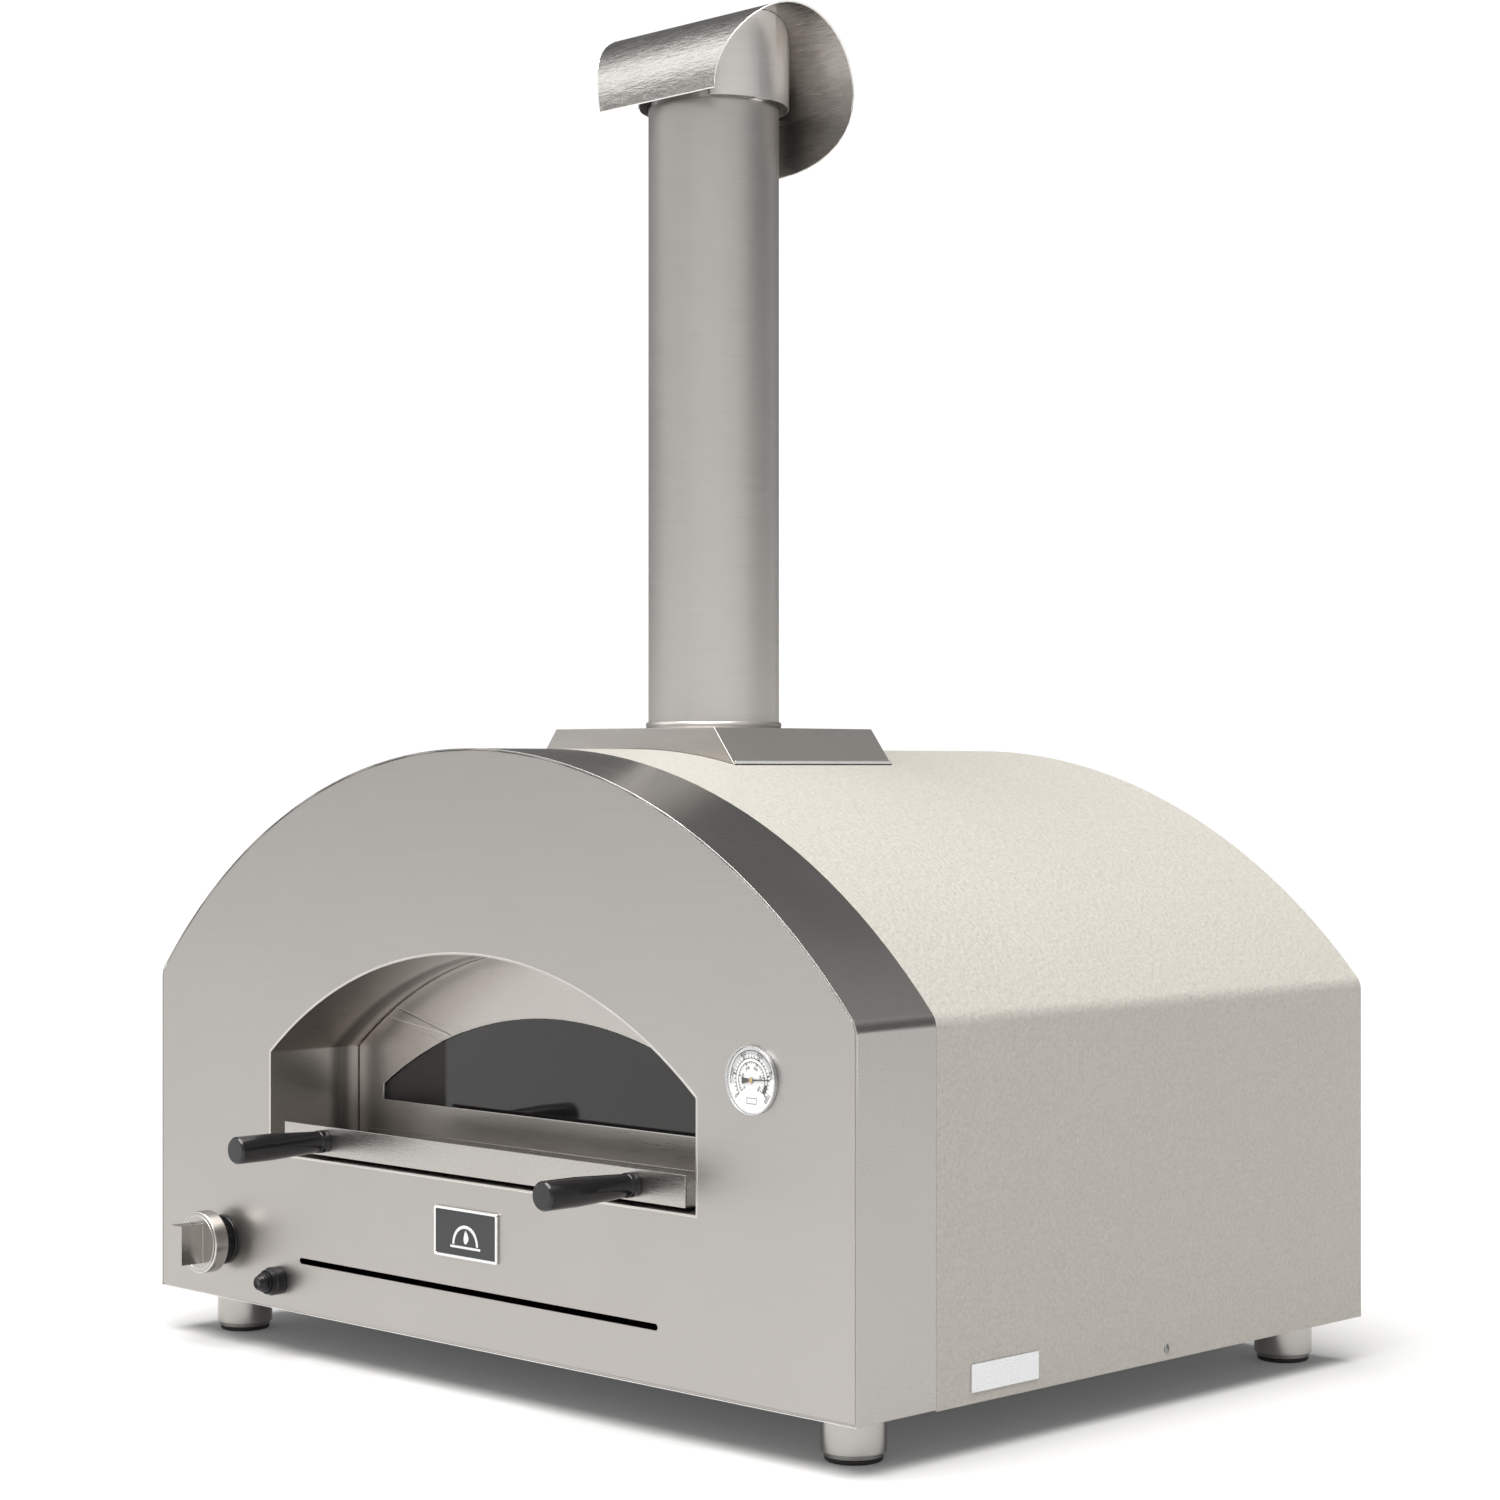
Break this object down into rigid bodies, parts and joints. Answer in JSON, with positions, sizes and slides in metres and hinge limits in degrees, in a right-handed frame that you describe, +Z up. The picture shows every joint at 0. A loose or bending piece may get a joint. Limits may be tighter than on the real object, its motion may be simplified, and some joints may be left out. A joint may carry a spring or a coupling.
{
  "type": "countertop pizza oven",
  "caption": "Arched steel gas pizza oven for a countertop: insulated dome over a tiled hearth, lift-out glazed door, control knob, igniter, thermometer, flue pipe and rain cap.",
  "frame": {"origin": "on the floor, under the middle of the oven's overall box", "axes": "+Z up through the flue; the mouth faces -Y; +X is to the right for a person who stands in front of the mouth"},
  "size_m": [1.1413, 0.9854, 1.5376],
  "materials": {
    "brushed_steel_face": "fine horizontal brushing",
    "brushed_steel_band": "fine brushing",
    "brushed_steel_flue": "brushed round the pipe",
    "brushed_steel_cap": "coarse brushing",
    "cream_paint": "fine textured powder coat, warm cream",
    "zinc_plate": "dull zinc plate",
    "foot_steel": "satin",
    "foot_rubber": "matt",
    "oven_steel": "brushed, warm grey",
    "ceramic_fibre": "soft white ceramic fibre",
    "fireclay": "matt refractory tile",
    "brass": "satin",
    "ceramic": "glazed ceramic",
    "knob_steel": "turned and brushed",
    "black_plastic": "satin black",
    "badge": "dark inlay in a bright frame",
    "side_aluminium": "brushed",
    "dial": "printed white dial",
    "pointer": "black",
    "dial_glass": "clear",
    "door_glass": "dark tinted, mirror-like",
    "grip_black": "gloss black"
  },
  "bodies": {
    "oven": {"front_panel": "brushed_steel_face", "hood_band": "brushed_steel_band", "body_shell": "cream_paint", "rear_panel": "cream_paint", "base_pan": "zinc_plate", "foot_sleeve_front_left": "foot_steel", "foot_sleeve_front_right": "foot_steel", "foot_sleeve_rear_left": "foot_steel", "foot_sleeve_rear_right": "foot_steel", "mouth_liner": "oven_steel", "dome_front": "oven_steel", "inner_dome": "oven_steel", "dome_rear": "oven_steel", "dome_blanket": "ceramic_fibre", "floor_tray": "zinc_plate", "floor_board": "ceramic_fibre", "hearth_tile_front_left": "fireclay", "hearth_tile_front_right": "fireclay", "hearth_tile_rear_left": "fireclay", "hearth_tile_rear_right": "fireclay", "flue_duct": "oven_steel", "flue_ring": "brushed_steel_flue", "flue_pipe": "brushed_steel_flue", "chimney_base": "brushed_steel_flue", "gas_valve": "brass", "gas_manifold": "brass", "burner_tube": "oven_steel", "burner_shield": "oven_steel", "supply_pipe": "zinc_plate", "gas_inlet": "brass", "spark_electrode": "ceramic", "thermocouple": "brass", "knob_bezel": "black_plastic", "igniter_body": "black_plastic", "thermometer_case": "side_aluminium", "thermometer_dial": "dial", "thermometer_glass": "dial_glass", "thermometer_probe": "zinc_plate", "front_badge": "badge", "side_plate": "side_aluminium"},
    "door": {"door_panel": "brushed_steel_face", "door_glass": "door_glass", "glass_retainer": "oven_steel", "door_tray": "brushed_steel_face", "door_grip_left": "grip_black", "door_grip_right": "grip_black"},
    "valve_plunger": {"valve_stem": "zinc_plate"},
    "knob": {"control_knob": "knob_steel"},
    "igniter": {"igniter_button": "black_plastic"},
    "needle": {"thermometer_pointer": "pointer"},
    "rain_cap": {"cap_hood": "brushed_steel_cap", "cap_collar": "brushed_steel_cap"},
    "foot_front_left": {"foot_insert_front_left": "foot_steel", "foot_pad_front_left": "foot_rubber"},
    "foot_front_right": {"foot_insert_front_right": "foot_steel", "foot_pad_front_right": "foot_rubber"},
    "foot_rear_left": {"foot_insert_rear_left": "foot_steel", "foot_pad_rear_left": "foot_rubber"},
    "foot_rear_right": {"foot_insert_rear_right": "foot_steel", "foot_pad_rear_right": "foot_rubber"}
  },
  "joints": [
    {"name": "door_slide", "type": "slide", "parent": "oven", "child": "door", "axis": [0, -1, 0], "range_m": [0, 0.45]},
    {"name": "knob_push", "type": "slide", "parent": "oven", "child": "valve_plunger", "axis": [0, 1, 0], "range_m": [0, 0.004], "stiffness_N_per_m": 1500},
    {"name": "knob_turn", "type": "hinge", "parent": "valve_plunger", "child": "knob", "pos_m": [-0.4445, -0.40075, 0.12], "axis": [0, -1, 0], "range_deg": [0, 180]},
    {"name": "igniter_push", "type": "slide", "parent": "oven", "child": "igniter", "axis": [0, 1, 0], "range_m": [0, 0.005], "stiffness_N_per_m": 1200},
    {"name": "needle_turn", "type": "hinge", "parent": "oven", "child": "needle", "pos_m": [0.4325, -0.37675, 0.37], "axis": [0, 1, 0], "range_deg": [-221, 49], "stiffness_Nm_per_rad": 0.002},
    {"name": "cap_turn", "type": "hinge", "parent": "oven", "child": "rain_cap", "pos_m": [0, -0.00305, 1.445], "axis": [0, 0, 1], "continuous": true},
    {"name": "foot_level_front_left", "type": "slide", "parent": "oven", "child": "foot_front_left", "axis": [0, 0, 1], "range_m": [0, 0.004]},
    {"name": "foot_level_front_right", "type": "slide", "parent": "oven", "child": "foot_front_right", "axis": [0, 0, 1], "range_m": [0, 0.004]},
    {"name": "foot_level_rear_left", "type": "slide", "parent": "oven", "child": "foot_rear_left", "axis": [0, 0, 1], "range_m": [0, 0.004]},
    {"name": "foot_level_rear_right", "type": "slide", "parent": "oven", "child": "foot_rear_right", "axis": [0, 0, 1], "range_m": [0, 0.004]}
  ]
}
